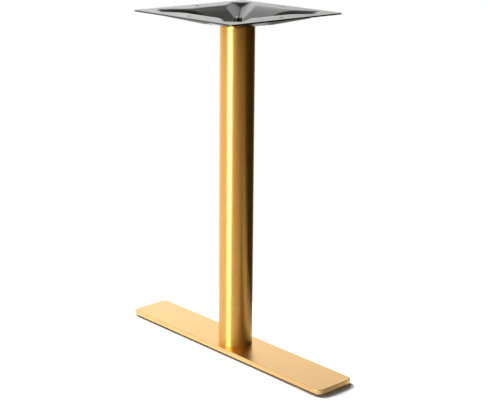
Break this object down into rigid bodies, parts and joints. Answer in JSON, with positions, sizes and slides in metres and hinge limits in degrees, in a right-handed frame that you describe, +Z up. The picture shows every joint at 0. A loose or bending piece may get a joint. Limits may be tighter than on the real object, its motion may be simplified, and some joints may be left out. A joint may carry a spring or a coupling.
{
  "type": "pedestal table base",
  "caption": "Table leg base with a long narrow flat foot, a round brass-coloured column, a pressed square mounting plate and screw-in levelling glides.",
  "frame": {"origin": "on the floor, under the middle of the column", "axes": "+X along the foot, +Z up, +Y across the foot"},
  "size_m": [0.61, 0.3, 0.732],
  "materials": {
    "brushed_brass_skin": "satin brushed, brass-coloured stainless",
    "brushed_brass_tube": "satin brushed, brass-coloured stainless",
    "black_steel": "black mill scale, lacquered",
    "pressed_steel": "glossy grey lacquer on pressed sheet",
    "pressed_cup": "plain pressed steel",
    "zinc_steel": "bright zinc plated",
    "dark_nut": "black oxide with bright corners",
    "glide_plastic": "moulded, matt black"
  },
  "bodies": {
    "base": {"base_cover": "brushed_brass_skin", "ballast_plate": "black_steel", "column_tube": "brushed_brass_tube", "lower_centring_cup": "pressed_cup", "upper_centring_cup": "pressed_cup", "tie_rod": "zinc_steel", "lower_washer": "zinc_steel", "lower_lock_washer": "zinc_steel", "lower_nut": "zinc_steel", "top_washer": "zinc_steel", "top_lock_washer": "zinc_steel", "top_nut": "dark_nut", "mounting_plate": "pressed_steel"},
    "glide_1": {"glide_stud_1": "zinc_steel", "glide_pad_1": "glide_plastic"},
    "glide_2": {"glide_stud_2": "zinc_steel", "glide_pad_2": "glide_plastic"},
    "glide_3": {"glide_stud_3": "zinc_steel", "glide_pad_3": "glide_plastic"},
    "glide_4": {"glide_stud_4": "zinc_steel", "glide_pad_4": "glide_plastic"}
  },
  "joints": [
    {"name": "glide_1_screw", "type": "slide", "parent": "base", "child": "glide_1", "axis": [0, 0, -1], "range_m": [0, 0.004]},
    {"name": "glide_2_screw", "type": "slide", "parent": "base", "child": "glide_2", "axis": [0, 0, -1], "range_m": [0, 0.004]},
    {"name": "glide_3_screw", "type": "slide", "parent": "base", "child": "glide_3", "axis": [0, 0, -1], "range_m": [0, 0.004]},
    {"name": "glide_4_screw", "type": "slide", "parent": "base", "child": "glide_4", "axis": [0, 0, -1], "range_m": [0, 0.004]}
  ]
}
